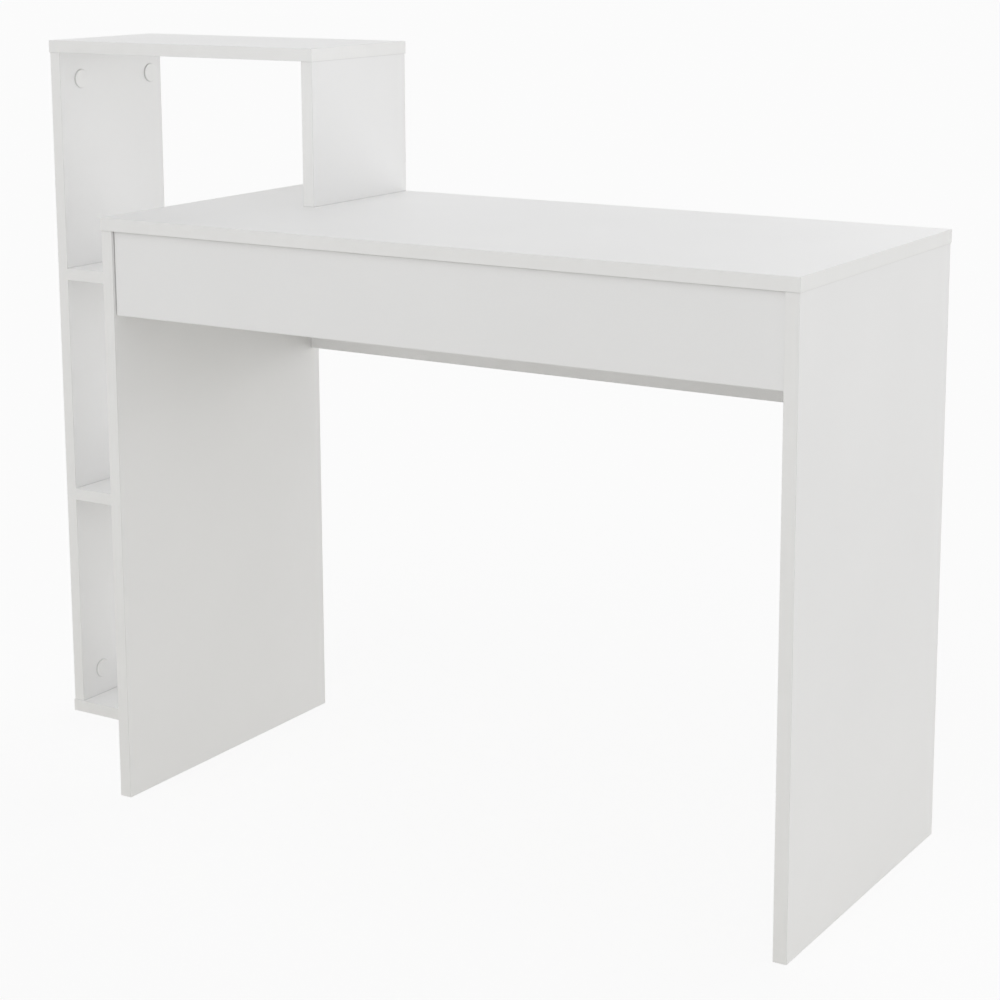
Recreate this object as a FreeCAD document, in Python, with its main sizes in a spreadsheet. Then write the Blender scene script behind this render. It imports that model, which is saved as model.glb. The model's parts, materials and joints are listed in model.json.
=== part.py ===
import FreeCAD, Part
import os
from collections import defaultdict
import Sketcher

# A white board desk with one wide drawer and a shelf unit at its left end.
# Millimetres, Z up. The front faces -Y, and the origin is on the floor under the middle of the whole.

SIZES = {
    # Boards and their edge bands
    "board": 16,
    "band": 0.6,
    "overhang": 1,
    # Desk
    "desk_width": 930,
    "desk_depth": 420,
    "desk_height": 742,
    "rail_height": 208,
    "rail_inset": 2,
    # Shelf unit
    "unit_reach": 269,
    "unit_depth": 208,
    "unit_rise": 198,
    "top_length": 436,
    # Drawer
    "front_height": 103,
    "front_recess": 4,
    "front_top_gap": 1,
    "front_side_gap": 1,
    "drawer_wall": 12,
    "box_top_gap": 16,
    "box_back_gap": 31,
    "bottom_panel": 5,
    "groove_depth": 6,
    "groove_height": 9,
    "groove_play": 0.2,
    # Roller runners
    "runner_gap": 12.5,
    "runner_metal": 1.2,
    "runner_lift": 3.8,
    "runner_setback": 2,
    "runner_clearance": 12,
    "runner_screw_inset": 37,
    "drawer_screw_height": 4.5,
    "roller_radius": 9.5,
    "roller_inset": 12,
    "roller_play": 0.3,
    "roller_bevel": 0.8,
    "roller_fit": 0.08,
    "pin_radius": 2,
    "pin_head_radius": 3.2,
    "pin_head": 1,
    "pin_shoulder": 0.5,
    "pin_end_gap": 0.8,
    # Cam locks in the boards, with their cover caps
    "cam_radius": 10,
    "cam_depth": 12.5,
    "cam_setback": 37,
    "cam_front_inset": 41,
    "cam_back_inset": 22.5,
    "desk_cam_inset": 59,
    "rail_cam_inset": 40,
    "slot_length": 11,
    "slot_width": 1.6,
    "slot_depth": 3,
    "cap_radius": 12.5,
    "cap_height": 2,
    "cap_bevel": 0.7,
    "cap_stub": 2,
    "cap_play": 0.15,
    # Small cam locks in the drawer's sides
    "small_cam_radius": 7.5,
    "small_cam_depth": 10,
    "small_cam_setback": 24,
    "small_cam_drop": 20,
    "small_dowel_drop": 45,
    # Cam bolts
    "bolt_grip": 11,
    "bolt_thread_radius": 3,
    "bolt_collar": 2,
    "bolt_collar_radius": 3.4,
    "bolt_shank_radius": 2,
    "bolt_head_radius": 3.25,
    "bolt_head": 3,
    "bolt_play": 0.35,
    # Dowels
    "dowel_radius": 4,
    "dowel_face_depth": 10,
    "dowel_end_depth": 20,
    "dowel_spread": 64,
    "rail_dowel_inset": 200,
    # Screws
    "runner_screw_radius": 1.75,
    "runner_screw_head_radius": 3.4,
    "runner_screw_head": 1.7,
    "runner_screw_length": 10,
    "back_screw_radius": 2,
    "back_screw_head_radius": 4,
    "back_screw_head": 2.4,
    "back_screw_length": 40,
    "back_screw_inset": 11,
    # Room in a drilled hole: round a fastener, and beyond its end
    "hole_fit": 0.1,
    "hole_end": 0.5,
}

# How far a cutting tool reaches out of the face that it cuts.
MARGIN = 1

doc = FreeCAD.newDocument("desk_with_shelves")
sheet = doc.addObject("Spreadsheet::Sheet", "sheet")
for row, (alias, value) in enumerate(SIZES.items(), start=1):
    sheet.set(f"A{row}", alias)
    sheet.set(f"B{row}", str(value))
    sheet.setAlias(f"B{row}", alias)
doc.recompute()

# Planes across the width, from the shelf unit's outer end to the desk's right end
DESK_X1 = "((sheet.unit_reach + sheet.desk_width) / 2)"
DESK_X0 = f"({DESK_X1} - sheet.desk_width)"
UNIT_X0 = f"({DESK_X0} - sheet.unit_reach)"
OUTER_OUT = f"({UNIT_X0} + sheet.overhang)"
OUTER_IN = f"({OUTER_OUT} + sheet.board)"
OUTER_MID = f"({OUTER_OUT} + sheet.board / 2)"
LEFT_OUT = f"({DESK_X0} + sheet.overhang)"
LEFT_IN = f"({LEFT_OUT} + sheet.board)"
LEFT_MID = f"({LEFT_OUT} + sheet.board / 2)"
RIGHT_OUT = f"({DESK_X1} - sheet.overhang)"
RIGHT_IN = f"({RIGHT_OUT} - sheet.board)"
RIGHT_MID = f"({RIGHT_OUT} - sheet.board / 2)"
DESK_MID = f"(({LEFT_IN} + {RIGHT_IN}) / 2)"
TOP_X1 = f"({UNIT_X0} + sheet.top_length)"
UPRIGHT_X1 = f"({TOP_X1} - sheet.overhang)"
UPRIGHT_X0 = f"({UPRIGHT_X1} - sheet.board)"
UPRIGHT_MID = f"({UPRIGHT_X1} - sheet.board / 2)"

# Planes across the depth, from front to back
BACK = "(sheet.desk_depth / 2)"
FRONT = f"({BACK} - sheet.desk_depth)"
PANEL_FRONT = f"({FRONT} + sheet.overhang)"
PANEL_BACK = f"({BACK} - sheet.overhang)"
UNIT_FRONT = f"({BACK} - sheet.unit_depth)"
UNIT_PANEL_FRONT = f"({UNIT_FRONT} + sheet.overhang)"
RAIL_BACK = f"({BACK} - sheet.rail_inset)"
RAIL_FRONT = f"({RAIL_BACK} - sheet.board)"
RAIL_MID = f"({RAIL_BACK} - sheet.board / 2)"
DRAWER_FRONT = f"({PANEL_FRONT} + sheet.front_recess)"
BOX_FRONT = f"({DRAWER_FRONT} + sheet.board)"
BOX_BACK = f"({RAIL_FRONT} - sheet.box_back_gap)"

# Heights, from the floor up
BASE_TOP = "sheet.board"
UNDER_DESK = "(sheet.desk_height - sheet.board)"
DESK_TOP = "sheet.desk_height"
UNIT_TOP = "(sheet.desk_height + sheet.unit_rise)"
UNDER_UNIT = f"({UNIT_TOP} - sheet.board)"
COMPARTMENT = f"(({UNIT_TOP} - 4 * sheet.board) / 3)"
UNDER_LOWER = f"({BASE_TOP} + {COMPARTMENT})"
LOWER_TOP = f"({UNDER_LOWER} + sheet.board)"
UNDER_UPPER = f"({LOWER_TOP} + {COMPARTMENT})"
UPPER_TOP = f"({UNDER_UPPER} + sheet.board)"
RAIL_BOTTOM = f"({UNDER_DESK} - sheet.rail_height)"

# The roller runner's section: widths from the side panel, heights from the runner's lowest face
ROLLER_AXIS = "(sheet.runner_metal + sheet.roller_play + sheet.roller_radius)"
RIDE_LOW = f"({ROLLER_AXIS} + sheet.roller_radius + sheet.roller_play)"
RIDE_HIGH = f"({RIDE_LOW} + sheet.runner_metal)"
CHANNEL = f"({RIDE_HIGH} + sheet.runner_lift + sheet.runner_metal)"
CHANNEL_WIDTH = "(sheet.runner_gap - sheet.runner_metal - sheet.roller_play)"
SEAT_LOW = "(sheet.runner_metal + sheet.roller_play)"
SEAT_HIGH = f"({SEAT_LOW} + sheet.runner_metal)"
ROLLER_START = "(sheet.runner_metal + sheet.pin_shoulder + sheet.roller_play)"
PIN_HEAD_HIGH = "(sheet.runner_gap - sheet.runner_metal - sheet.pin_end_gap)"
PIN_HEAD_LOW = f"({PIN_HEAD_HIGH} - sheet.pin_head)"
ROLLER_END = f"({PIN_HEAD_LOW} - sheet.roller_play)"

# The drawer box hangs on the runners, which lie below the cover caps of the side panels
RUNNER_Z = f"({UNDER_DESK} - sheet.cam_setback - sheet.cap_radius - sheet.runner_clearance - {CHANNEL})"
RUNNER_Y0 = f"({BOX_FRONT} + sheet.runner_setback)"
RUNNER_Y1 = f"({BOX_BACK} + sheet.runner_setback)"
ROLLER_Z = f"({RUNNER_Z} + {ROLLER_AXIS})"
BOX_BOTTOM = f"({RUNNER_Z} + {SEAT_HIGH})"
BOX_TOP = f"({UNDER_DESK} - sheet.box_top_gap)"
GROOVE_Z = f"({BOX_BOTTOM} + sheet.groove_height)"
FRONT_TOP = f"({UNDER_DESK} - sheet.front_top_gap)"
BOX_X0 = f"({LEFT_IN} + sheet.runner_gap)"
BOX_X1 = f"({RIGHT_IN} - sheet.runner_gap)"
INSIDE_X0 = f"({BOX_X0} + sheet.drawer_wall)"
INSIDE_X1 = f"({BOX_X1} - sheet.drawer_wall)"
INSIDE_Y1 = f"({BOX_BACK} - sheet.drawer_wall)"

nodes = {}
blanks = {}
cuts = defaultdict(list)
groups = defaultdict(list)


def number(expression):
    """Today's value of an expression."""
    return float(sheet.evalExpression(expression))


def direction(name):
    """Unit vector along a signed axis such as "-z"."""
    sign = -1 if name[0] == "-" else 1
    return FreeCAD.Vector(*(sign * (axis == name[1]) for axis in "xyz"))


def turn(along, facing=None):
    """Rotation that lays a piece's own Z along one signed axis, and its own X along another."""
    beside = {"x": "+y", "y": "+z", "z": "+x"}[along[1]]
    z_axis = direction(along)
    x_axis = direction(facing or beside)
    return FreeCAD.Rotation(x_axis, z_axis.cross(x_axis), z_axis, "ZXY")


def box(name, x, y, z):
    """A block between two planes along each axis."""
    block = doc.addObject("Part::Box", name)
    for size, axis, (low, high) in zip(("Length", "Width", "Height"), "xyz", (x, y, z)):
        block.setExpression(size, f"{high} - {low}")
        block.setExpression(f"Placement.Base.{axis}", low)
    return block


def rod(name, along, radius, low, high, **centre):
    """A round length along an axis, between two planes, with its centre line moved to centre."""
    cylinder = doc.addObject("Part::Cylinder", name)
    cylinder.Placement = FreeCAD.Placement(FreeCAD.Vector(), turn(f"+{along}"))
    cylinder.setExpression("Radius", radius)
    cylinder.setExpression("Height", f"{high} - {low}")
    for axis, where in {**centre, along: low}.items():
        cylinder.setExpression(f"Placement.Base.{axis}", where)
    return cylinder


def fuse(name, pieces):
    """Several overlapping pieces as one."""
    whole = doc.addObject("Part::MultiFuse", name)
    whole.Shapes = pieces
    return whole


def cut(name, base, tools):
    """A piece with every tool cut out of it."""
    result = doc.addObject("Part::Cut", name)
    result.Base = base
    result.Tool = fuse(f"{name}_holes", tools) if len(tools) > 1 else tools[0]
    return result


def collect(name, pieces):
    """Separate solids kept together as one group."""
    group = doc.addObject("Part::Compound", name)
    group.Links = pieces
    return group


def place(master, point, rotation):
    """A copy of a master piece at a point bound to the sheet."""
    copy = doc.addObject("App::Link", f"{master.Name}_copy")
    copy.LinkedObject = master
    copy.LinkTransform = True
    copy.Placement = FreeCAD.Placement(FreeCAD.Vector(), rotation)
    for axis, where in zip("xyz", point):
        copy.setExpression(f"Placement.Base.{axis}", where)
    return copy


def outline(body, role, corners):
    """A closed outline on one of a body's origin planes, with each corner bound to the sheet."""
    sketch = body.newObject("Sketcher::SketchObject", f"{body.Name}_outline")
    plane = next(feature for feature in body.Origin.OriginFeatures if feature.Role == role)
    sketch.AttachmentSupport = [(plane, "")]
    sketch.MapMode = "FlatFace"
    points = [FreeCAD.Vector(number(across), number(up), 0) for across, up in corners]
    for start, end in zip(points, points[1:] + points[:1]):
        sketch.addGeometry(Part.LineSegment(start, end))
    for line, corner in enumerate(corners):
        sketch.addConstraint(Sketcher.Constraint("Coincident", line, 2, (line + 1) % len(corners), 1))
        for kind, expression in zip(("DistanceX", "DistanceY"), corner):
            index = sketch.addConstraint(Sketcher.Constraint(kind, -1, 1, line, 1, number(expression)))
            sketch.setExpression(f"Constraints[{index}]", expression)
    return sketch


def turned_body(name, corners):
    """A body turned about its own Z from an outline of radius and height."""
    body = doc.addObject("PartDesign::Body", name)
    revolution = body.newObject("PartDesign::Revolution", f"{name}_turning")
    revolution.Profile = outline(body, "XZ_Plane", corners)
    revolution.ReferenceAxis = (revolution.Profile[0], ["V_Axis"])
    revolution.Angle = 360
    body.Tip = revolution
    return body


def profile_body(name, corners, length):
    """A body with a constant section in X and Z, that runs along +Y from its origin."""
    body = doc.addObject("PartDesign::Body", name)
    pad = body.newObject("PartDesign::Pad", f"{name}_length")
    pad.Profile = outline(body, "XZ_Plane", corners)
    pad.setExpression("Length", length)
    pad.Reversed = True
    body.Tip = pad
    return body


def banded_board(name, x, y, z, bands):
    """A board between two planes along each axis, with an edge band glued on each side in bands.

    A side is an axis and an end, 0 for the low one. Later bands run between earlier ones.
    """
    spans = {"x": list(x), "y": list(y), "z": list(z)}
    strips = []
    for axis, end in bands:
        strip = {key: list(span) for key, span in spans.items()}
        inner = f"({spans[axis][end]} {'+-'[end]} sheet.band)"
        strip[axis][1 - end] = inner
        spans[axis][end] = inner
        strips.append(box(f"{name}_band_{axis}{end}", strip["x"], strip["y"], strip["z"]))
    blanks[name] = box(f"{name}_blank", spans["x"], spans["y"], spans["z"])
    nodes[f"{name}_edge_band"] = collect(f"{name}_edge_band", strips)


def cross(name, x, height, length, width):
    """Two crossed bars about the X axis at a height: a screwdriver slot, or the stub that fills it."""
    bars = []
    for bar, (wide, tall) in enumerate(((length, width), (width, length))):
        y_span = (f"(-{wide} / 2)", f"({wide} / 2)")
        z_span = (f"({height} - {tall} / 2)", f"({height} + {tall} / 2)")
        bars.append(box(f"{name}_{bar}", x, y_span, z_span))
    return bars


def cam_kit(name, thickness, radius, depth, setback):
    """Master pieces and cuts of a cam joint.

    The bolt runs along Z, from the face of the anchoring board at Z = 0 into the end of the board that
    holds the cam. The cam fills a pocket in that board's +X face.
    """
    face = f"({thickness} / 2)"
    floor = f"({face} - {depth})"
    throat = "(sheet.bolt_head_radius + sheet.bolt_play)"
    head_low = f"({setback} - sheet.bolt_head / 2)"
    head_high = f"({setback} + sheet.bolt_head / 2)"
    thread_end = "(-sheet.bolt_grip)"
    slot = cross(f"{name}_slot", (f"({face} - sheet.slot_depth)", face), setback,
                 "sheet.slot_length", "sheet.slot_width")
    return {
        "cam": cut(f"{name}_cam", rod(f"{name}_cam_blank", "x", radius, floor, face, z=setback), [
            rod(f"{name}_throat", "z", throat, "0", f"({head_high} + sheet.bolt_play)"),
            *slot,
        ]),
        "bolt": fuse(f"{name}_bolt", [
            rod(f"{name}_bolt_thread", "z", "sheet.bolt_thread_radius", thread_end, "0"),
            rod(f"{name}_bolt_collar", "z", "sheet.bolt_collar_radius", "0", "sheet.bolt_collar"),
            rod(f"{name}_bolt_shank", "z", "sheet.bolt_shank_radius", "0", head_low),
            rod(f"{name}_bolt_head", "z", "sheet.bolt_head_radius", head_low, head_high),
        ]),
        "holder_cut": fuse(f"{name}_holder_cut", [
            rod(f"{name}_pocket", "x", f"{radius} + sheet.hole_fit", floor, f"({face} + {MARGIN})",
                z=setback),
            rod(f"{name}_bore", "z", throat, f"(-{MARGIN})", setback),
        ]),
        "anchor_cut": rod(f"{name}_anchor_cut", "z", "sheet.bolt_thread_radius + sheet.hole_fit",
                          f"({thread_end} - sheet.hole_end)", MARGIN),
    }


def cover_cap(thickness, setback):
    """A round cap with a bevelled rim, whose cross-shaped stub plugs into the cam's slot."""
    face = f"({thickness} / 2)"
    disc = turned_body("cap_disc", [
        ("0", "0"),
        ("sheet.cap_radius", "0"),
        ("sheet.cap_radius", "sheet.cap_height - sheet.cap_bevel"),
        ("sheet.cap_radius - sheet.cap_bevel", "sheet.cap_height"),
        ("0", "sheet.cap_height"),
    ])
    disc.Placement = FreeCAD.Placement(FreeCAD.Vector(), turn("+x"))
    disc.setExpression("Placement.Base.x", face)
    disc.setExpression("Placement.Base.z", setback)
    stub = cross("cap_stub", (f"({face} - sheet.cap_stub)", face), setback,
                 "(sheet.slot_length - 2 * sheet.cap_play)", "(sheet.slot_width - 2 * sheet.cap_play)")
    return fuse("cover_cap", [disc, *stub])


def countersunk(name, size, fit, end):
    """A countersunk screw along +Z with its head's face at Z = 0, or its hole when it has room round it."""
    head = doc.addObject("Part::Cone", f"{name}_head")
    head.setExpression("Radius1", f"sheet.{size}_head_radius + {fit}")
    head.setExpression("Radius2", f"sheet.{size}_radius + {fit}")
    head.setExpression("Height", f"sheet.{size}_head")
    shank = rod(f"{name}_shank", "z", f"sheet.{size}_radius + {fit}", f"sheet.{size}_head",
                f"(sheet.{size}_length + {end})")
    return fuse(name, [head, shank])


def cam_joint(kit, group, holder, anchor, point, along, facing, caps=None):
    """A cam joint between the end of one board and the face of another, with a cap if it has a cap group."""
    rotation = turn(along, facing)
    cuts[holder].append(place(kit["holder_cut"], point, rotation))
    cuts[anchor].append(place(kit["anchor_cut"], point, rotation))
    groups[f"{group}_cams"].append(place(kit["cam"], point, rotation))
    groups[f"{group}_cam_bolts"].append(place(kit["bolt"], point, rotation))
    if caps:
        groups[caps].append(place(cap, point, rotation))


def dowel_joint(group, holder, anchor, point, along):
    """A dowel from the face of one board into the end of another."""
    rotation = turn(along)
    for board in (holder, anchor):
        cuts[board].append(place(dowel_hole, point, rotation))
    groups[f"{group}_dowels"].append(place(dowel, point, rotation))


def screw_joint(group, screw, hole, pieces, point, along):
    """A countersunk screw through the first piece into the next."""
    rotation = turn(along)
    for piece in pieces:
        cuts[piece].append(place(hole, point, rotation))
    groups[group].append(place(screw, point, rotation))


# Boards of the desk
ALL_ENDS = (("y", 0), ("y", 1), ("x", 0), ("x", 1))
FRONT_AND_BACK = (("y", 0), ("y", 1))
banded_board("desktop", (DESK_X0, DESK_X1), (FRONT, BACK), (UNDER_DESK, DESK_TOP), ALL_ENDS)
banded_board("left_side_panel", (LEFT_OUT, LEFT_IN), (PANEL_FRONT, PANEL_BACK), ("0", UNDER_DESK),
             FRONT_AND_BACK)
banded_board("right_side_panel", (RIGHT_IN, RIGHT_OUT), (PANEL_FRONT, PANEL_BACK), ("0", UNDER_DESK),
             FRONT_AND_BACK)
banded_board("rear_rail", (LEFT_IN, RIGHT_IN), (RAIL_FRONT, RAIL_BACK), (RAIL_BOTTOM, UNDER_DESK),
             (("z", 0),))

# Boards of the shelf unit
banded_board("base_board", (UNIT_X0, LEFT_OUT), (UNIT_FRONT, BACK), ("0", BASE_TOP), ALL_ENDS[:3])
banded_board("outer_side_panel", (OUTER_OUT, OUTER_IN), (UNIT_PANEL_FRONT, PANEL_BACK),
             (BASE_TOP, UNDER_UNIT), FRONT_AND_BACK)
banded_board("lower_shelf", (OUTER_IN, LEFT_OUT), (UNIT_PANEL_FRONT, PANEL_BACK), (UNDER_LOWER, LOWER_TOP),
             FRONT_AND_BACK)
banded_board("upper_shelf", (OUTER_IN, LEFT_OUT), (UNIT_PANEL_FRONT, PANEL_BACK), (UNDER_UPPER, UPPER_TOP),
             FRONT_AND_BACK)
banded_board("top_shelf", (UNIT_X0, TOP_X1), (UNIT_FRONT, BACK), (UNDER_UNIT, UNIT_TOP), ALL_ENDS)
banded_board("short_upright", (UPRIGHT_X0, UPRIGHT_X1), (UNIT_PANEL_FRONT, PANEL_BACK),
             (DESK_TOP, UNDER_UNIT), FRONT_AND_BACK)

# Drawer: front, two sides, back, and a bottom panel in a groove all round
banded_board("drawer_front", (f"({LEFT_IN} + sheet.front_side_gap)", f"({RIGHT_IN} - sheet.front_side_gap)"),
             (DRAWER_FRONT, BOX_FRONT), (f"({FRONT_TOP} - sheet.front_height)", FRONT_TOP),
             (("z", 0), ("z", 1), ("x", 0), ("x", 1)))
BOX_LENGTH = (BOX_FRONT, BOX_BACK)
BOX_HEIGHT = (BOX_BOTTOM, BOX_TOP)
blanks["drawer_left_side"] = box("drawer_left_blank", (BOX_X0, INSIDE_X0), BOX_LENGTH, BOX_HEIGHT)
blanks["drawer_right_side"] = box("drawer_right_blank", (INSIDE_X1, BOX_X1), BOX_LENGTH, BOX_HEIGHT)
blanks["drawer_back"] = box("drawer_back_blank", (INSIDE_X0, INSIDE_X1), (INSIDE_Y1, BOX_BACK), BOX_HEIGHT)
GROOVE_SPANS = (
    (f"({INSIDE_X0} - sheet.groove_depth)", f"({INSIDE_X1} + sheet.groove_depth)"),
    (f"({BOX_FRONT} - sheet.groove_depth)", f"({INSIDE_Y1} + sheet.groove_depth)"),
)
BOTTOM_SPANS = [
    (f"({low} + sheet.groove_play)", f"({high} - sheet.groove_play)") for low, high in GROOVE_SPANS
]
BOTTOM_TOP = f"({GROOVE_Z} + sheet.bottom_panel)"
nodes["drawer_bottom"] = box("drawer_bottom", *BOTTOM_SPANS, (GROOVE_Z, BOTTOM_TOP))
groove = box("bottom_groove", *GROOVE_SPANS, (GROOVE_Z, f"({BOTTOM_TOP} + sheet.groove_play)"))
for piece in ("drawer_front", "drawer_left_side", "drawer_right_side", "drawer_back"):
    cuts[piece].append(groove)

# Master fasteners
board_kit = cam_kit("board", "sheet.board", "sheet.cam_radius", "sheet.cam_depth", "sheet.cam_setback")
small_kit = cam_kit("small", "sheet.drawer_wall", "sheet.small_cam_radius", "sheet.small_cam_depth",
                    "sheet.small_cam_setback")
cap = cover_cap("sheet.board", "sheet.cam_setback")
dowel = rod("dowel", "z", "sheet.dowel_radius", "(-sheet.dowel_face_depth)", "sheet.dowel_end_depth")
dowel_hole = rod("dowel_hole", "z", "sheet.dowel_radius + sheet.hole_fit",
                 "(-sheet.dowel_face_depth - sheet.hole_end)", "(sheet.dowel_end_depth + sheet.hole_end)")
runner_screw = countersunk("runner_screw", "runner_screw", "0", "0")
runner_screw_hole = countersunk("runner_screw_hole", "runner_screw", "sheet.hole_fit", "sheet.hole_end")
back_screw = countersunk("back_screw", "back_screw", "0", "0")
back_screw_hole = countersunk("back_screw_hole", "back_screw", "sheet.hole_fit", "sheet.hole_end")

# Desk joints: the desktop on its side panels, and the rear rail between them and under the desktop
PANEL_MID_Y = f"(({PANEL_FRONT} + {PANEL_BACK}) / 2)"
for panel, mid, facing in (("left_side_panel", LEFT_MID, "+x"), ("right_side_panel", RIGHT_MID, "-x")):
    for y in (f"({PANEL_FRONT} + sheet.desk_cam_inset)", f"({PANEL_BACK} - sheet.desk_cam_inset)"):
        cam_joint(board_kit, "desk", panel, "desktop", (mid, y, UNDER_DESK), "-z", facing, "desk_cover_caps")
    for y in (f"({PANEL_MID_Y} - sheet.dowel_spread)", f"({PANEL_MID_Y} + sheet.dowel_spread)"):
        dowel_joint("desk", panel, "desktop", (mid, y, UNDER_DESK), "-z")
RAIL_MID_Z = f"({UNDER_DESK} - sheet.rail_height / 2)"
for panel, face, along in (("left_side_panel", LEFT_IN, "+x"), ("right_side_panel", RIGHT_IN, "-x")):
    for z in (f"({RAIL_BOTTOM} + sheet.rail_cam_inset)", f"({UNDER_DESK} - sheet.rail_cam_inset)"):
        cam_joint(board_kit, "desk", "rear_rail", panel, (face, RAIL_MID, z), along, "+y", "desk_cover_caps")
    dowel_joint("desk", "rear_rail", panel, (face, RAIL_MID, RAIL_MID_Z), along)
for x in (f"({LEFT_IN} + sheet.rail_dowel_inset)", DESK_MID, f"({RIGHT_IN} - sheet.rail_dowel_inset)"):
    dowel_joint("desk", "rear_rail", "desktop", (x, RAIL_MID, UNDER_DESK), "-z")

# Shelf unit joints: each has a cam near the front and one near the back, with a dowel between
CAM_FRONT_Y = f"({UNIT_PANEL_FRONT} + sheet.cam_front_inset)"
CAM_BACK_Y = f"({PANEL_BACK} - sheet.cam_back_inset)"
DOWEL_Y = f"(({CAM_FRONT_Y} + {CAM_BACK_Y}) / 2)"
LOWER_MID = f"({LOWER_TOP} - sheet.board / 2)"
UPPER_MID = f"({UPPER_TOP} - sheet.board / 2)"
BASE_MID = "(sheet.board / 2)"
UNIT_JOINTS = (
    ("outer_side_panel", "top_shelf", OUTER_MID, UNDER_UNIT, "-z", "+x", "outer_panel_cover_caps"),
    ("outer_side_panel", "base_board", OUTER_MID, BASE_TOP, "+z", "+x", "outer_panel_cover_caps"),
    ("short_upright", "top_shelf", UPRIGHT_MID, UNDER_UNIT, "-z", "-x", "upright_cover_caps"),
    ("short_upright", "desktop", UPRIGHT_MID, DESK_TOP, "+z", "-x", "upright_cover_caps"),
    ("upper_shelf", "outer_side_panel", OUTER_IN, UPPER_MID, "+x", "-z", "shelf_cover_caps"),
    ("upper_shelf", "left_side_panel", LEFT_OUT, UPPER_MID, "-x", "-z", "shelf_cover_caps"),
    ("lower_shelf", "outer_side_panel", OUTER_IN, LOWER_MID, "+x", "-z", "shelf_cover_caps"),
    ("lower_shelf", "left_side_panel", LEFT_OUT, LOWER_MID, "-x", "-z", "shelf_cover_caps"),
    ("base_board", "left_side_panel", LEFT_OUT, BASE_MID, "-x", "-z", None),
)
for holder, anchor, x, z, along, facing, caps in UNIT_JOINTS:
    for y in (CAM_FRONT_Y, CAM_BACK_Y):
        cam_joint(board_kit, "unit", holder, anchor, (x, y, z), along, facing, caps)
    dowel_joint("unit", holder, anchor, (x, DOWEL_Y, z), along)

# Drawer joints: the sides on the front, and the back between the sides
CAM_Z = f"({BOX_TOP} - sheet.small_cam_drop)"
DOWEL_Z = f"({BOX_TOP} - sheet.small_dowel_drop)"
BACK_MID_Y = f"({BOX_BACK} - sheet.drawer_wall / 2)"
BACK_SCREW_HEIGHTS = (
    f"({RUNNER_Z} + {RIDE_HIGH} + sheet.back_screw_inset)",
    f"({BOX_TOP} - sheet.back_screw_inset)",
)
DRAWER_SIDES = (
    ("drawer_left_side", BOX_X0, f"({BOX_X0} + sheet.drawer_wall / 2)", "+x"),
    ("drawer_right_side", BOX_X1, f"({BOX_X1} - sheet.drawer_wall / 2)", "-x"),
)
for side, outside, mid, inward in DRAWER_SIDES:
    cam_joint(small_kit, "drawer", side, "drawer_front", (mid, BOX_FRONT, CAM_Z), "+y", inward)
    dowel_joint("drawer", side, "drawer_front", (mid, BOX_FRONT, DOWEL_Z), "+y")
    for z in BACK_SCREW_HEIGHTS:
        screw_joint("drawer_back_screws", back_screw, back_screw_hole, (side, "drawer_back"),
                    (outside, BACK_MID_Y, z), inward)

# Roller pin, on its own Z from the back of the runner's web that holds it
roller_pin = fuse("roller_pin", [
    rod("pin_shank", "z", "sheet.pin_radius", "0", PIN_HEAD_HIGH),
    rod("pin_shoulder", "z", "sheet.pin_head_radius", "sheet.runner_metal",
        "(sheet.runner_metal + sheet.pin_shoulder)"),
    rod("pin_head", "z", "sheet.pin_head_radius", PIN_HEAD_LOW, PIN_HEAD_HIGH),
])
pin_hole = rod("pin_hole", "z", "sheet.pin_radius + sheet.hole_fit", f"(-{MARGIN})",
               f"(sheet.runner_metal + {MARGIN})")


def roller(name, point, along):
    """A nylon roller with bevelled rims, free to turn on its pin."""
    bore = "sheet.pin_radius + sheet.roller_fit"
    rim = "sheet.roller_radius - sheet.roller_bevel"
    wheel = turned_body(name, [
        (bore, ROLLER_START),
        (rim, ROLLER_START),
        ("sheet.roller_radius", f"{ROLLER_START} + sheet.roller_bevel"),
        ("sheet.roller_radius", f"{ROLLER_END} - sheet.roller_bevel"),
        (rim, ROLLER_END),
        (bore, ROLLER_END),
    ])
    wheel.Placement = FreeCAD.Placement(FreeCAD.Vector(), turn(along))
    for axis, where in zip("xyz", point):
        wheel.setExpression(f"Placement.Base.{axis}", where)
    nodes[name] = wheel


def runner_section(sign, corners):
    """A runner's section counted inwards from its panel: sign is 1 on the left and -1 on the right."""
    return [(f"{sign} * {across}", up) for across, up in corners]


# Roller runners: a channel on each side panel, and an angle under each drawer side that rides on its roller
CHANNEL_CORNERS = (
    ("0", "0"),
    (CHANNEL_WIDTH, "0"),
    (CHANNEL_WIDTH, "sheet.runner_metal"),
    ("sheet.runner_metal", "sheet.runner_metal"),
    ("sheet.runner_metal", f"{CHANNEL} - sheet.runner_metal"),
    (CHANNEL_WIDTH, f"{CHANNEL} - sheet.runner_metal"),
    (CHANNEL_WIDTH, CHANNEL),
    ("0", CHANNEL),
)
WEB = "(sheet.runner_gap - sheet.runner_metal)"
SEAT_END = "(sheet.runner_gap + sheet.drawer_wall)"
RIDE_END = ROLLER_START
ANGLE_CORNERS = (
    (WEB, SEAT_LOW),
    (SEAT_END, SEAT_LOW),
    (SEAT_END, SEAT_HIGH),
    ("sheet.runner_gap", SEAT_HIGH),
    ("sheet.runner_gap", RIDE_HIGH),
    (RIDE_END, RIDE_HIGH),
    (RIDE_END, RIDE_LOW),
    (WEB, RIDE_LOW),
)
FRONT_AXLE_Y = f"({RUNNER_Y0} + sheet.roller_inset)"
REAR_AXLE_Y = f"({BOX_BACK} - sheet.roller_inset)"
DRAWER_SCREW_Z = f"({BOX_BOTTOM} + sheet.drawer_screw_height)"
RUNNER_SIDES = (
    ("left", 1, "left_side_panel", LEFT_IN, "drawer_left_side", "+x", "-x"),
    ("right", -1, "right_side_panel", RIGHT_IN, "drawer_right_side", "-x", "+x"),
)
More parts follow.
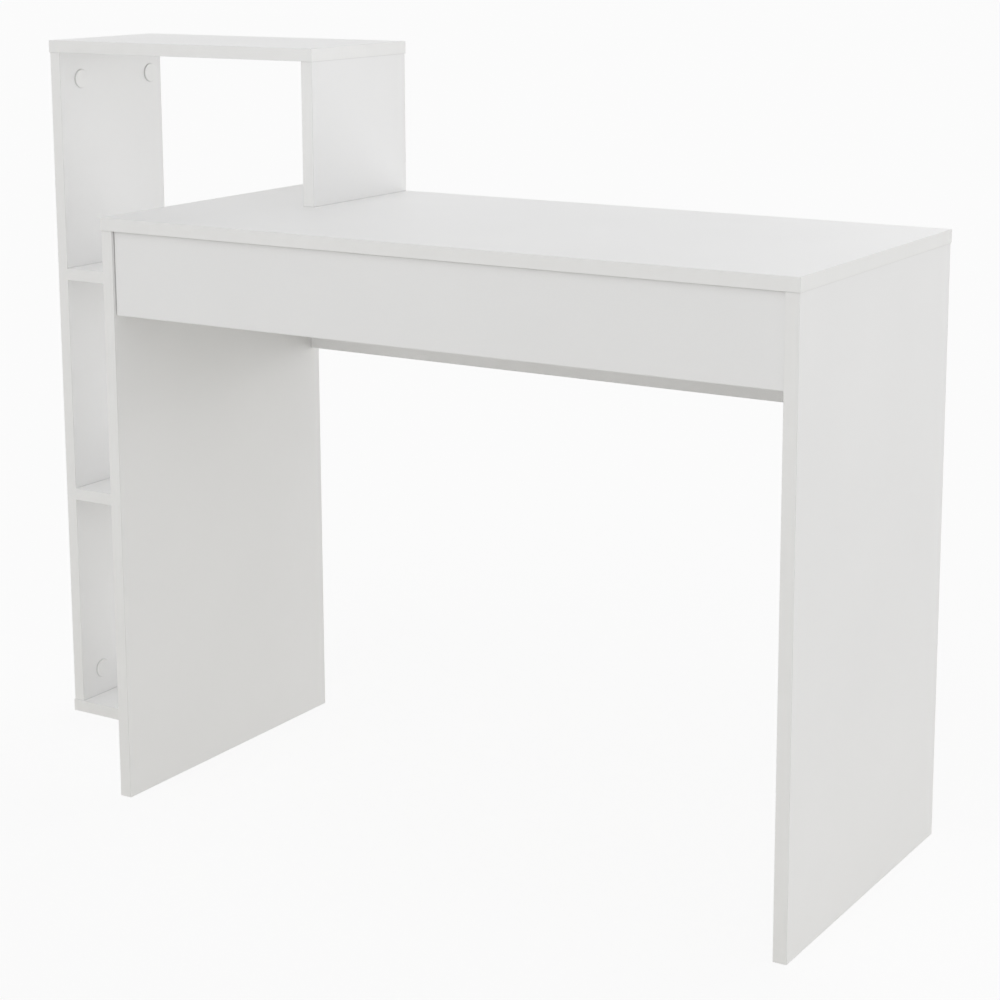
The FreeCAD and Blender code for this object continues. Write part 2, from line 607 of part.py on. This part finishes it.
for hand, sign, panel, face, side, inward, outward in RUNNER_SIDES:
    members = (
        ("cabinet", CHANNEL_CORNERS, RUNNER_Y0, RUNNER_Y1, ROLLER_Z, outward, panel,
         f"({face} + {sign} * sheet.runner_metal)"),
        ("drawer", ANGLE_CORNERS, BOX_FRONT, BOX_BACK, DRAWER_SCREW_Z, inward, side,
         f"({face} + {sign} * {WEB})"),
    )
    for member, corners, y0, y1, screw_z, along, carrier, web_face in members:
        name = f"{hand}_{member}_runner"
        section = profile_body(f"{name}_section", runner_section(sign, corners), f"{y1} - {y0}")
        for axis, where in zip("xyz", (face, y0, RUNNER_Z)):
            section.setExpression(f"Placement.Base.{axis}", where)
        blanks[name] = section
        for y in (f"({y0} + sheet.runner_screw_inset)", f"(({y0} + {y1}) / 2)",
                  f"({y1} - sheet.runner_screw_inset)"):
            screw_joint(f"{member}_runner_screws", runner_screw, runner_screw_hole, (name, carrier),
                        (web_face, y, screw_z), along)
    axles = (
        ("front", "cabinet", face, FRONT_AXLE_Y, inward),
        ("rear", "drawer", f"({face} + {sign} * sheet.runner_gap)", REAR_AXLE_Y, outward),
    )
    for end, member, web_back, y, along in axles:
        point = (web_back, y, ROLLER_Z)
        cuts[f"{hand}_{member}_runner"].append(place(pin_hole, point, turn(along)))
        groups[f"{end}_roller_pins"].append(place(roller_pin, point, turn(along)))
        roller(f"{hand}_{end}_roller", point, along)

# Drilled boards and runners, and the groups of equal fasteners
for name, blank in blanks.items():
    nodes[name] = cut(name, blank, cuts[name])
for name, copies in groups.items():
    nodes[name] = collect(name, copies)

doc.recompute()
for piece in doc.Objects:
    if "Invalid" in piece.State or "Error" in piece.State:
        raise RuntimeError(f"{piece.Label} did not build: {piece.State}")
for name, piece in nodes.items():
    piece.Label = name
    if piece.Shape.isNull() or not piece.Shape.isValid():
        raise RuntimeError(f"{name} has no valid shape")

os.makedirs("parts", exist_ok=True)
for name, piece in nodes.items():
    piece.Shape.exportStep(f"parts/{name}.step")
print(f"{len(nodes)} sub-parts")
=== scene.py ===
"""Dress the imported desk: finishes for every node, a pale floor, soft light and the camera."""
import json
import math

import bpy
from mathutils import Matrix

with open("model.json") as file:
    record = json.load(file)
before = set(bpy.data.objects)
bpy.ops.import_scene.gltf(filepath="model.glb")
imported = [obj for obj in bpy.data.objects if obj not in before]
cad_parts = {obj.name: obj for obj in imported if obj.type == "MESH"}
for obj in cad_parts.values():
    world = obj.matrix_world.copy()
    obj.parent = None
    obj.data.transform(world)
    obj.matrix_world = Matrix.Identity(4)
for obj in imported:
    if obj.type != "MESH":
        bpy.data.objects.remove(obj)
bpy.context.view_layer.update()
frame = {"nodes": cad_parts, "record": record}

# Camera: place in metres, angles in degrees, lens in millimetres on a 36 mm sensor
CAMERA_PLACE = (1.5445, -2.303, 1.098)
CAMERA_YAW = 31.84
CAMERA_PITCH = -10.43
CAMERA_ROLL = 0.21
CAMERA_LENS = 82.39
CAMERA_SHIFT_Y = -0.16

# Light: an even sky and wide soft lamps. Each lamp has its azimuth, 0 in front and 90 at the right, its height
# above the horizon and its width, all in degrees, and the level it gives a white face turned to it. The
# reflectors throw light up from floor level, and the floor lets it pass.
SKY_LEVEL = 0.625
LAMPS = {
    "front_lamp": (0, 45, 45, 0.11),
    "back_lamp": (180, 20, 45, 0.19),
    "front_reflector": (0, -12, 45, 0.172),
    "side_reflector": (50, -12, 45, 0.10),
    "right_reflector": (135, -12, 45, 0.28),
    "left_reflector": (270, -12, 45, 0.15),
}
WHITE = (1, 1, 1, 1)

# Floor: lengths in metres. As a source of light it is a little darker near the desk than far off, between two
# distances from the middle; this is painted shade on the floor around the desk. Seen directly it is white:
# mostly glow, and the rest takes the desk's shadow.
FLOOR_HALF_WIDTH = 80
FLOOR_DROP = 0.0005
FLOOR_NEAR = (0.505, 0.493, 0.455, 1)
FLOOR_FAR = (0.66, 0.658, 0.65, 1)
FLOOR_BLEND = (0.7, 2.2)
FLOOR_GLOW = 0.85

# Finishes: lengths in metres
EDGE_ROUNDING = 0.0005
EDGE_SAMPLES = 6
# Reach and samples of the painted shade put into colours close to where pieces meet
CREVICE_SHADE_REACH = 0.004
JOINT_SHADE_REACH = 0.0012
CREVICE_SHADE_SAMPLES = 8


def add(tree, kind, inputs=None, **settings):
    """Add a shader node. An input is set, or linked where its value is another node's output."""
    made = tree.nodes.new("ShaderNode" + kind)
    for name, value in settings.items():
        setattr(made, name, value)
    for name, value in (inputs or {}).items():
        if isinstance(value, bpy.types.NodeSocket):
            tree.links.new(value, made.inputs[name])
        else:
            made.inputs[name].default_value = value
    return made


def noise(tree, vector, size, detail):
    """Cloudy noise with features of about a size in metres."""
    return add(tree, "TexNoise", {"Vector": vector, "Scale": 1 / size, "Detail": detail}).outputs["Fac"]


def stretched(tree, vector, scale):
    """Object coordinates squeezed or stretched along the axes."""
    return add(tree, "Mapping", {"Vector": vector, "Scale": scale}).outputs["Vector"]


def ramp(tree, factor, low, high, start=0.3, end=0.7):
    """A colour between two colours, by a factor that counts from start to end."""
    made = add(tree, "ValToRGB", {"Fac": factor})
    first, last = made.color_ramp.elements
    first.position, first.color = start, low
    last.position, last.color = end, high
    return made.outputs["Color"]


def spread(tree, factor, low, high):
    """A number between low and high, by a factor from 0 to 1."""
    return add(tree, "MapRange", {"Value": factor, "To Min": low, "To Max": high}).outputs["Result"]


def multiply(tree, colour, other, share=1.0):
    """A colour multiplied by another, in full or in part."""
    made = add(tree, "Mix", data_type="RGBA", blend_type="MULTIPLY")
    made.inputs["Factor"].default_value = share
    tree.links.new(colour, made.inputs["A"])
    tree.links.new(other, made.inputs["B"])
    return made.outputs["Result"]


def painted_crevice_shade(tree, reach=CREVICE_SHADE_REACH):
    """Painted shade: ambient occlusion, white in the open and darker close to where pieces meet, to be
    multiplied into a colour.
    """
    return add(tree, "AmbientOcclusion", {"Distance": reach}, samples=CREVICE_SHADE_SAMPLES).outputs["Color"]


def rounded_bump(tree, height, depth, rounding=EDGE_ROUNDING):
    """A surface normal with rounded edges and a fine relief."""
    edge = add(tree, "Bevel", {"Radius": rounding}, samples=EDGE_SAMPLES).outputs["Normal"]
    relief = {"Height": height, "Distance": depth, "Strength": 1.0, "Normal": edge}
    return add(tree, "Bump", relief).outputs["Normal"]


def finish(name, build):
    """A material whose surface is built by a function that gives the shader's inputs."""
    made = bpy.data.materials.new(name)
    made.use_nodes = True
    tree = made.node_tree
    tree.nodes.clear()
    place = add(tree, "TexCoord").outputs["Object"]
    surface = add(tree, "BsdfPrincipled", build(tree, place))
    add(tree, "OutputMaterial", {"Surface": surface.outputs["BSDF"]})
    return made


def white_melamine(tree, place):
    """Matt white melamine: faintly clouded, with a fine pearl relief."""
    patches = noise(tree, place, size=0.22, detail=3)
    clouds = ramp(tree, patches, low=(0.904, 0.903, 0.9005, 1), high=(0.922, 0.921, 0.9185, 1))
    grain = noise(tree, place, size=0.0011, detail=3)
    speckle = ramp(tree, grain, low=(0.985, 0.985, 0.985, 1), high=WHITE)
    colour = multiply(tree, clouds, speckle)
    sheen = noise(tree, place, size=0.006, detail=4)
    return {
        # Painted shade: the colour darkens within a short reach of where pieces meet
        "Base Color": multiply(tree, colour, painted_crevice_shade(tree, JOINT_SHADE_REACH), share=0.4),
        "Roughness": spread(tree, sheen, low=0.42, high=0.56),
        "Normal": rounded_bump(tree, grain, depth=0.00006),
        "Specular IOR Level": 0.4,
    }


def white_edge_band(tree, place):
    """Plastic edge band, a little warmer than the faces, with faint lines along the board."""
    lines = noise(tree, stretched(tree, place, (0.05, 1, 0.05)), size=0.0012, detail=3)
    patches = noise(tree, place, size=0.12, detail=2)
    clouds = ramp(tree, patches, low=(0.904, 0.903, 0.894, 1), high=(0.922, 0.921, 0.912, 1))
    tone = ramp(tree, lines, low=(0.985, 0.984, 0.982, 1), high=WHITE)
    colour = multiply(tree, clouds, tone)
    return {
        # Painted shade: the colour darkens within a short reach of where pieces meet
        "Base Color": multiply(tree, colour, painted_crevice_shade(tree, JOINT_SHADE_REACH), share=0.4),
        "Roughness": spread(tree, lines, low=0.40, high=0.54),
        "Normal": rounded_bump(tree, lines, depth=0.00005),
        "Specular IOR Level": 0.4,
    }


def drawer_board(tree, place):
    """Foil-wrapped drawer board with a fine linen emboss."""
    across = noise(tree, stretched(tree, place, (1, 0.06, 1)), size=0.0009, detail=2)
    along = noise(tree, stretched(tree, place, (0.06, 1, 0.06)), size=0.0009, detail=2)
    weave = add(tree, "Math", {0: across, 1: along}, operation="MULTIPLY").outputs["Value"]
    patches = noise(tree, place, size=0.15, detail=2)
    clouds = ramp(tree, patches, low=(0.815, 0.815, 0.802, 1), high=(0.840, 0.840, 0.828, 1))
    tone = ramp(tree, weave, low=(0.96, 0.96, 0.95, 1), high=WHITE, start=0.1, end=0.45)
    colour = multiply(tree, clouds, tone)
    return {
        # Painted shade: the colour darkens close to where pieces meet
        "Base Color": multiply(tree, colour, painted_crevice_shade(tree), share=0.5),
        "Roughness": spread(tree, weave, low=0.50, high=0.62),
        "Normal": rounded_bump(tree, weave, depth=0.00008),
        "Specular IOR Level": 0.35,
    }


def drawer_panel(tree, place):
    """White lacquer on fibreboard: soft mottling from the fibres below."""
    fibres = noise(tree, stretched(tree, place, (0.35, 1, 1)), size=0.004, detail=6)
    colour = ramp(tree, fibres, low=(0.785, 0.783, 0.765, 1), high=(0.825, 0.823, 0.807, 1))
    return {
        # Painted shade: the colour darkens close to where pieces meet
        "Base Color": multiply(tree, colour, painted_crevice_shade(tree), share=0.5),
        "Roughness": spread(tree, fibres, low=0.34, high=0.50),
        "Normal": rounded_bump(tree, fibres, depth=0.00005, rounding=0.0004),
    }


def coated_steel(tree, place):
    """White powder coat with its fine orange peel."""
    peel = noise(tree, place, size=0.0016, detail=2)
    patches = noise(tree, place, size=0.03, detail=2)
    colour = ramp(tree, patches, low=(0.780, 0.780, 0.760, 1), high=(0.810, 0.810, 0.792, 1))
    return {
        # Painted shade: the colour darkens close to where pieces meet
        "Base Color": multiply(tree, colour, painted_crevice_shade(tree), share=0.6),
        "Roughness": spread(tree, peel, low=0.28, high=0.42),
        "Normal": rounded_bump(tree, peel, depth=0.00008, rounding=0.0003),
    }


def white_nylon(tree, place):
    """Moulded nylon, slightly milky."""
    flow = noise(tree, place, size=0.0025, detail=3)
    colour = ramp(tree, flow, low=(0.760, 0.755, 0.720, 1), high=(0.800, 0.797, 0.770, 1))
    return {
        # Painted shade: the colour darkens close to where pieces meet
        "Base Color": multiply(tree, colour, painted_crevice_shade(tree), share=0.5),
        "Roughness": spread(tree, flow, low=0.34, high=0.46),
        "Normal": rounded_bump(tree, flow, depth=0.00004, rounding=0.0003),
        "Subsurface Weight": 0.15,
        "Subsurface Scale": 0.002,
    }


def plain_steel(tree, place):
    """Zinc-plated steel with a faint blue and straw passivation."""
    blotches = noise(tree, place, size=0.003, detail=3)
    scratches = noise(tree, stretched(tree, place, (1, 1, 12)), size=0.002, detail=3)
    colour = ramp(tree, blotches, low=(0.53, 0.545, 0.56, 1), high=(0.63, 0.615, 0.575, 1))
    return {
        # Painted shade: the colour darkens close to where pieces meet
        "Base Color": multiply(tree, colour, painted_crevice_shade(tree), share=0.7),
        "Metallic": 1.0,
        "Roughness": spread(tree, scratches, low=0.22, high=0.40),
        "Normal": rounded_bump(tree, scratches, depth=0.00003, rounding=0.0002),
    }


def cast_zinc(tree, place):
    """Die cast zinc, dull and grainy."""
    grain = noise(tree, place, size=0.0007, detail=3)
    patches = noise(tree, place, size=0.004, detail=2)
    colour = ramp(tree, patches, low=(0.42, 0.43, 0.44, 1), high=(0.52, 0.53, 0.54, 1))
    return {
        # Painted shade: the colour darkens close to where pieces meet
        "Base Color": multiply(tree, colour, painted_crevice_shade(tree), share=0.7),
        "Metallic": 1.0,
        "Roughness": spread(tree, grain, low=0.38, high=0.56),
        "Normal": rounded_bump(tree, grain, depth=0.00006, rounding=0.0003),
    }


def beech(tree, place):
    """Beech with short dark flecks along the grain."""
    flecks = noise(tree, stretched(tree, place, (0.3, 1, 0.3)), size=0.0012, detail=3)
    colour = ramp(tree, flecks, low=(0.44, 0.26, 0.13, 1), high=(0.62, 0.42, 0.24, 1))
    return {
        # Painted shade: the colour darkens close to where pieces meet
        "Base Color": multiply(tree, colour, painted_crevice_shade(tree), share=0.5),
        "Roughness": spread(tree, flecks, low=0.55, high=0.70),
        "Normal": rounded_bump(tree, flecks, depth=0.00006, rounding=0.0002),
    }


def white_cap(tree, place):
    """Moulded white plastic with a fine eroded texture."""
    grain = noise(tree, place, size=0.0006, detail=2)
    patches = noise(tree, place, size=0.02, detail=2)
    colour = ramp(tree, patches, low=(0.895, 0.895, 0.888, 1), high=(0.915, 0.915, 0.908, 1))
    return {
        # Painted shade: the colour darkens close to where pieces meet
        "Base Color": multiply(tree, colour, painted_crevice_shade(tree), share=0.4),
        "Roughness": spread(tree, grain, low=0.38, high=0.50),
        "Normal": rounded_bump(tree, grain, depth=0.00003, rounding=0.0004),
    }


def dress_nodes():
    """Give each CAD node the finish of its material slot in the record."""
    builders = (white_melamine, white_edge_band, drawer_board, drawer_panel, coated_steel, white_nylon,
                plain_steel, cast_zinc, beech, white_cap)
    finishes = {build.__name__: finish(build.__name__ + "_finish", build) for build in builders}
    for part in frame["record"]["subparts"]:
        slots = frame["nodes"][part["node"]].data.materials
        for place in range(len(slots)):
            slots[place] = finishes[part["material_slot"]]


def seen_directly(tree):
    """1 for rays that show a surface itself, its mirror image or a view through glass, and 0 for light."""
    path = add(tree, "LightPath")
    kinds = ("Is Camera Ray", "Is Glossy Ray", "Is Transmission Ray")
    result = path.outputs[kinds[0]]
    for kind in kinds[1:]:
        result = add(tree, "Math", {0: result, 1: path.outputs[kind]}, operation="MAXIMUM").outputs["Value"]
    return result


def floor_paint():
    """Pale grey as a source of light, with painted shade darker near the desk, and nearly white where it is
    seen directly.
    """
    paint = bpy.data.materials.new("pale_floor")
    paint.use_nodes = True
    tree = paint.node_tree
    tree.nodes.clear()
    place = add(tree, "TexCoord").outputs["Object"]
    away = add(tree, "VectorMath", {0: place}, operation="LENGTH").outputs["Value"]
    start, end = FLOOR_BLEND
    blend = add(tree, "MapRange", {"Value": away, "From Min": start, "From Max": end}).outputs["Result"]
    # Painted shade: the floor's colour for light is darker near the desk than far off
    grey = ramp(tree, blend, low=FLOOR_NEAR, high=FLOOR_FAR, start=0.0, end=1.0)
    seen = seen_directly(tree)
    tone = add(tree, "Mix", data_type="RGBA")
    tree.links.new(seen, tone.inputs["Factor"])
    tree.links.new(grey, tone.inputs["A"])
    tone.inputs["B"].default_value = WHITE
    body = add(tree, "BsdfDiffuse", {"Color": tone.outputs["Result"]})
    glow = add(tree, "Emission", {"Color": WHITE, "Strength": 1.0})
    share = add(tree, "Math", {0: seen, 1: FLOOR_GLOW}, operation="MULTIPLY").outputs["Value"]
    both = add(tree, "MixShader", {0: share, 1: body.outputs["BSDF"], 2: glow.outputs["Emission"]})
    add(tree, "OutputMaterial", {"Surface": both.outputs["Shader"]})
    return paint


def make_floor():
    """A wide pale floor that lets the reflectors' light pass and keeps the object's shadow."""
    half = FLOOR_HALF_WIDTH
    mesh = bpy.data.meshes.new("floor")
    corners = [(-half, -half), (half, -half), (half, half), (-half, half)]
    mesh.from_pydata([(x, y, -FLOOR_DROP) for x, y in corners], [], [(0, 1, 2, 3)])
    mesh.materials.append(floor_paint())
    floor = bpy.data.objects.new("floor", mesh)
    bpy.context.scene.collection.objects.link(floor)
    floor.visible_shadow = False


def make_sky():
    """Soft light from all round above the floor, seen as plain white."""
    world = bpy.data.worlds.new("studio")
    world.use_nodes = True
    tree = world.node_tree
    tree.nodes.clear()
    direction = add(tree, "TexCoord").outputs["Generated"]
    rise = add(tree, "SeparateXYZ", {"Vector": direction}).outputs["Z"]
    above = add(tree, "Math", {0: rise, 1: 0.0}, operation="GREATER_THAN").outputs["Value"]
    level = add(tree, "Math", {0: above, 1: SKY_LEVEL}, operation="MULTIPLY").outputs["Value"]
    light = add(tree, "Background", {"Color": WHITE, "Strength": level}).outputs["Background"]
    plain = add(tree, "Background", {"Color": WHITE, "Strength": 1.0}).outputs["Background"]
    both = add(tree, "MixShader", {0: seen_directly(tree), 1: light, 2: plain})
    add(tree, "OutputWorld", {"Surface": both.outputs["Shader"]})
    bpy.context.scene.world = world


def make_lamps():
    """Wide far-off lamps that shine on the desk from all round."""
    for name, (azimuth, height, width, level) in LAMPS.items():
        data = bpy.data.lights.new(name, "SUN")
        data.angle = math.radians(width)
        data.energy = level * math.pi
        lamp = bpy.data.objects.new(name, data)
        bpy.context.scene.collection.objects.link(lamp)
        lamp.rotation_euler = (math.radians(90 - height), 0, math.radians(azimuth))


def make_camera():
    """A camera where the photograph's stood, aimed a little lower, with a smaller shift."""
    data = bpy.data.cameras.new("camera")
    data.lens = CAMERA_LENS
    data.shift_y = CAMERA_SHIFT_Y
    camera = bpy.data.objects.new("camera", data)
    bpy.context.scene.collection.objects.link(camera)
    camera.location = CAMERA_PLACE
    turns = (90 + CAMERA_PITCH, CAMERA_ROLL, CAMERA_YAW)
    camera.rotation_euler = [math.radians(turn) for turn in turns]
    bpy.context.scene.camera = camera


bpy.context.scene.view_settings.view_transform = "Standard"
dress_nodes()
make_floor()
make_sky()
make_lamps()
make_camera()
